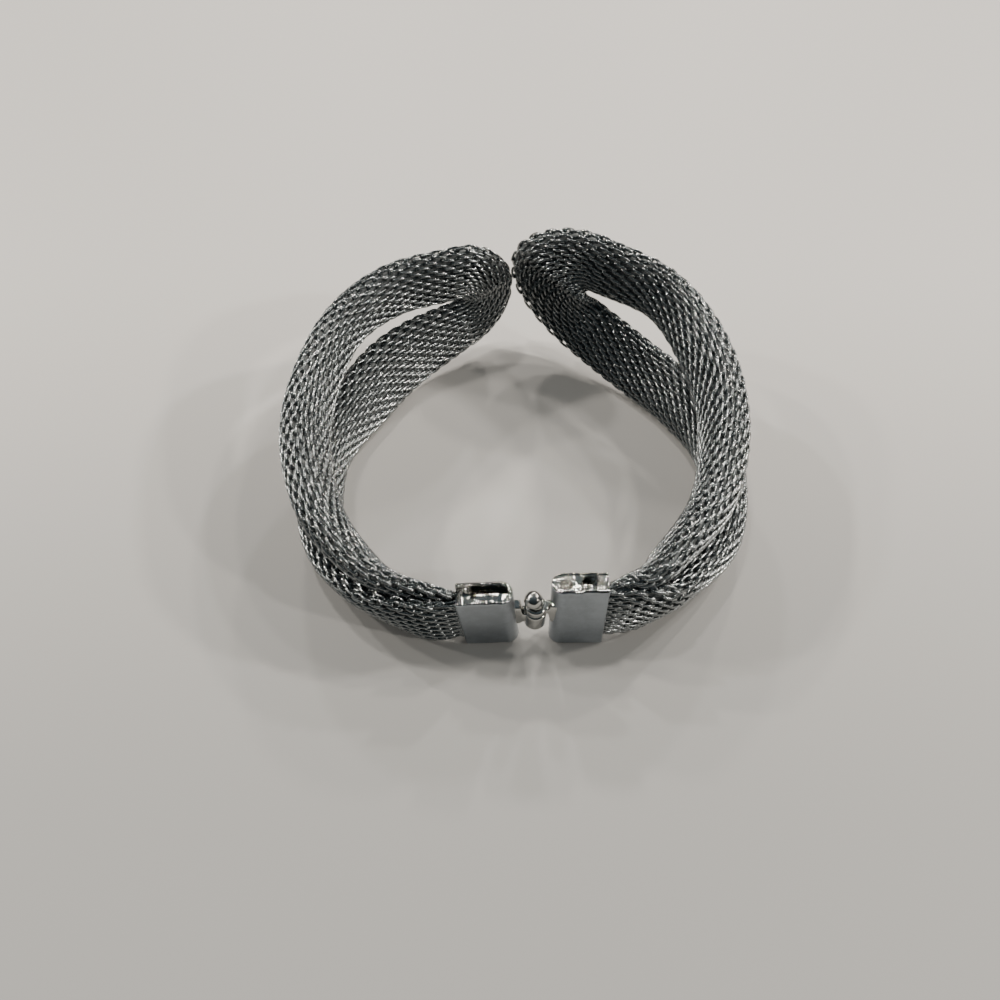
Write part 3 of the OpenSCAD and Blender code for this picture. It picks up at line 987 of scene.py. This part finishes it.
class BRACELET_OT_shade_sheets(bpy.types.Operator):
    """Make the dark sheets of painted shade that stand for the depth of the hollow tubes"""

    bl_idname = "bracelet.linings"
    bl_label = "Linings"

    def execute(self, context):
        w = settings().weave
        material = shade_sheet_material()
        for side in (LEFT, RIGHT):
            # A dark sheet of painted shade, set inside the coils where the real tube is hollow
            skin = core_surface(side)[0][::2, ::2]
            skin = skin - w.shade_sheet * outward(skin)
            skin[..., 2] = np.maximum(skin[..., 2], 0.3 * w.wire_d)
            ends = skin[[0, -1]].mean(1, keepdims=True).repeat(skin.shape[1], 1)
            points = np.concatenate([ends[:1], skin, ends[1:]])
            thing = make_mesh(f"{WORDS[side]}_lining", *shell(points))
            weld(thing)
            dress(thing, BODIES[side], "wire_mesh", material)
        return {"FINISHED"}


class BRACELET_OT_caps(bpy.types.Operator):
    """Make the two end caps with their solder, straps and knuckles"""

    bl_idname = "bracelet.caps"
    bl_label = "End caps"

    def execute(self, context):
        h = settings().hinge
        low = knuckle_base()
        middle = low + h.low_h
        high = middle + h.gap
        spans = {LEFT: (low, middle), RIGHT: (high, high + h.high_h)}
        # Underside and top of each strap at its knuckle, then at its cap
        tuck = 0.05 * MM
        straps = {LEFT: (middle - 2.2 * MM, middle - tuck, 4.6 * MM, 9.3 * MM),
                  RIGHT: (high + tuck, high + h.high_h - tuck, 5.2 * MM, 9.7 * MM)}
        material = cap_material()
        for side in (LEFT, RIGHT):
            parts = joined([cap_body(side), knuckle(*spans[side]), lug(side, *straps[side])])
            thing = make_mesh(f"{CAPS[side]}_dressed", *parts)
            weld(thing)
            dress(thing, BODIES[side], "polished_cap", material, CAPS[side])
        return {"FINISHED"}


class BRACELET_OT_pin(bpy.types.Operator):
    """Turn the hinge pin with its foot and its ball"""

    bl_idname = "bracelet.pin"
    bl_label = "Hinge pin"

    def execute(self, context):
        h = settings().hinge
        low = knuckle_base() - h.pin_fit
        top = low + h.pin_fit + h.low_h + h.gap + h.high_h + h.pin_fit
        ball = top + h.ball_r
        r, z = rim(h.pin_r + h.knuckle_wall / 2, low - h.foot_h, low, 0.15 * MM)
        a = np.linspace(-math.pi / 2, math.pi / 2, 60)
        ball_z = ball + h.ball_r * np.sin(a)
        collar = (h.pin_r + 0.3 * MM) * smooth((ball_z - top) / (0.1 * MM))
        collar = np.maximum(collar, h.pin_r) * (ball_z < top + 0.4 * MM)
        r = np.r_[0, r, h.pin_r, h.pin_r, np.maximum(h.ball_r * np.cos(a), collar)]
        z = np.r_[low - h.foot_h, z, low, top - h.pin_fit, ball_z]
        r[-1] = 0
        grid = turned(r, z, 80)
        above = grid[..., 2] - top
        grid[..., 0] -= h.ball_off * smooth(above / h.ball_r)
        swell = 0.03 * lumps(grid, 1.2 * MM, BALL_SEED) * smooth(above / (0.4 * MM))
        grid += (grid - [HINGE_X - h.ball_off, HINGE_Y, ball]) * swell[..., None]
        thing = make_mesh("hinge_pin_dressed", *shell(grid))
        weld(thing)
        material = plate_material("polished pin", settings().finish.pin, 0.1, 500.0)
        dress(thing, BODIES[RIGHT], "pin", material, "hinge_pin")
        return {"FINISHED"}


def add_camera():
    """The camera that took the photo: it stands before the table and looks down at it."""
    s = settings().stage
    camera = add_object("camera", bpy.data.cameras.new("camera"))
    camera.data.lens = s.focal
    camera.data.sensor_width = 36
    camera.data.clip_start = 1 * MM
    camera.data.clip_end = 10
    camera.location = (s.look_x, s.look_y - s.distance * math.cos(s.elevation),
                       s.distance * math.sin(s.elevation))
    camera.rotation_euler = (math.pi / 2 - s.elevation, 0, 0)
    bpy.context.scene.camera = camera


def add_table():
    """A wide table top, with painted shadow that darkens it near the viewer."""
    f = settings().finish
    corners = TABLE_HALF * np.array([[-1, -1, 0], [1, -1, 0], [1, 1, 0], [-1, 1, 0]])
    table = make_mesh("table", corners, np.array([[0, 1, 2, 3]]))
    material, s, bsdf, where = new_material("table top", 0.55, 0.0)
    away = s.add("ShaderNodeSeparateXYZ", {"Vector": where}).outputs["Y"]
    # Painted shadow of the viewer darkens the front of the table
    tone = s.blend(s.band(away, -TABLE_FADE, TABLE_FADE), f.table_painted_shadow, f.table)
    s.put(bsdf, {"Base Color": tone})
    table.data.materials.append(material)


def add_lamp(name, x, y, size, watts):
    """A square lamp over the desk that faces the middle of the table."""
    data = bpy.data.lights.new(name, "AREA")
    data.size = size
    data.energy = watts * settings().stage.lamp
    data.color = LAMP_TONE
    lamp = add_object(name, data)
    lamp.location = (x, y, LAMP_Z)
    pitch = math.atan2(math.hypot(x, y), LAMP_Z)
    lamp.rotation_euler = (pitch, 0, math.atan2(-x, y) + math.pi)


def room(strength):
    """A dim room: a pale ceiling, dark walls and a darker side where the viewer stands. Seen
    straight past the table's edge it is a plain pale backdrop."""
    world = bpy.data.worlds.new("room")
    world.use_nodes = True
    s = Shader(world.node_tree)
    back = world.node_tree.nodes["Background"]
    way = s.add("ShaderNodeTexCoord").outputs["Generated"]
    part = s.add("ShaderNodeSeparateXYZ", {"Vector": way}).outputs
    cloud = s.math("MULTIPLY", s.noise(way, 2.2, 1.0), 0.5)
    ceiling = s.band(s.math("ADD", part["Z"], cloud), 0.4, 1.1)
    viewer = s.band(part["Y"], -0.75, 0.1)
    share = s.math("MULTIPLY", ceiling, s.math("MULTIPLY_ADD", viewer, 0.7, 0.3))
    tone = s.blend(share, (0.12, 0.16, 0.18), (0.72, 0.93, 1.03))
    seen = s.add("ShaderNodeLightPath").outputs["Is Camera Ray"]
    s.put(back, {"Color": s.blend(seen, tone, (0.85, 0.84, 0.81)),
                 "Strength": s.math("MULTIPLY_ADD", seen, 1.0 - strength, strength)})
    return world


class BRACELET_OT_stage(bpy.types.Operator):
    """Set the camera, the lamps and the table"""

    bl_idname = "bracelet.stage"
    bl_label = "Stage"

    def execute(self, context):
        add_camera()
        add_table()
        context.scene.world = room(settings().stage.sky)
        for number, lamp in enumerate(LAMPS, 1):
            add_lamp(f"lamp_{number}", *lamp)
        return {"FINISHED"}


class BRACELET_PT_panel(bpy.types.Panel):
    """Lists the steps that build the bracelet"""

    bl_label = "Mesh bracelet"
    bl_idname = "BRACELET_PT_panel"
    bl_space_type = "VIEW_3D"
    bl_region_type = "UI"
    bl_category = "Bracelet"

    def draw(self, context):
        for operator in OPERATORS:
            self.layout.operator(operator.bl_idname)


OPERATORS = [BRACELET_OT_tubes, BRACELET_OT_shade_sheets, BRACELET_OT_caps, BRACELET_OT_pin,
             BRACELET_OT_stage]
CLASSES = [BandSizes, WeaveSizes, CapSizes, HingeSizes, Finishes, Stage, BraceletSettings,
           *OPERATORS, BRACELET_PT_panel]


def register():
    """Adds the classes and the settings."""
    for cls in CLASSES:
        bpy.utils.register_class(cls)
    bpy.types.Scene.bracelet = PointerProperty(type=BraceletSettings)


def unregister():
    """Takes the settings and the classes away."""
    del bpy.types.Scene.bracelet
    for cls in reversed(CLASSES):
        bpy.utils.unregister_class(cls)


def main():
    """Builds every piece in order."""
    register()
    bpy.ops.bracelet.tubes()
    bpy.ops.bracelet.linings()
    bpy.ops.bracelet.caps()
    bpy.ops.bracelet.pin()
    bpy.ops.bracelet.stage()


if __name__ == "__main__":
    main()
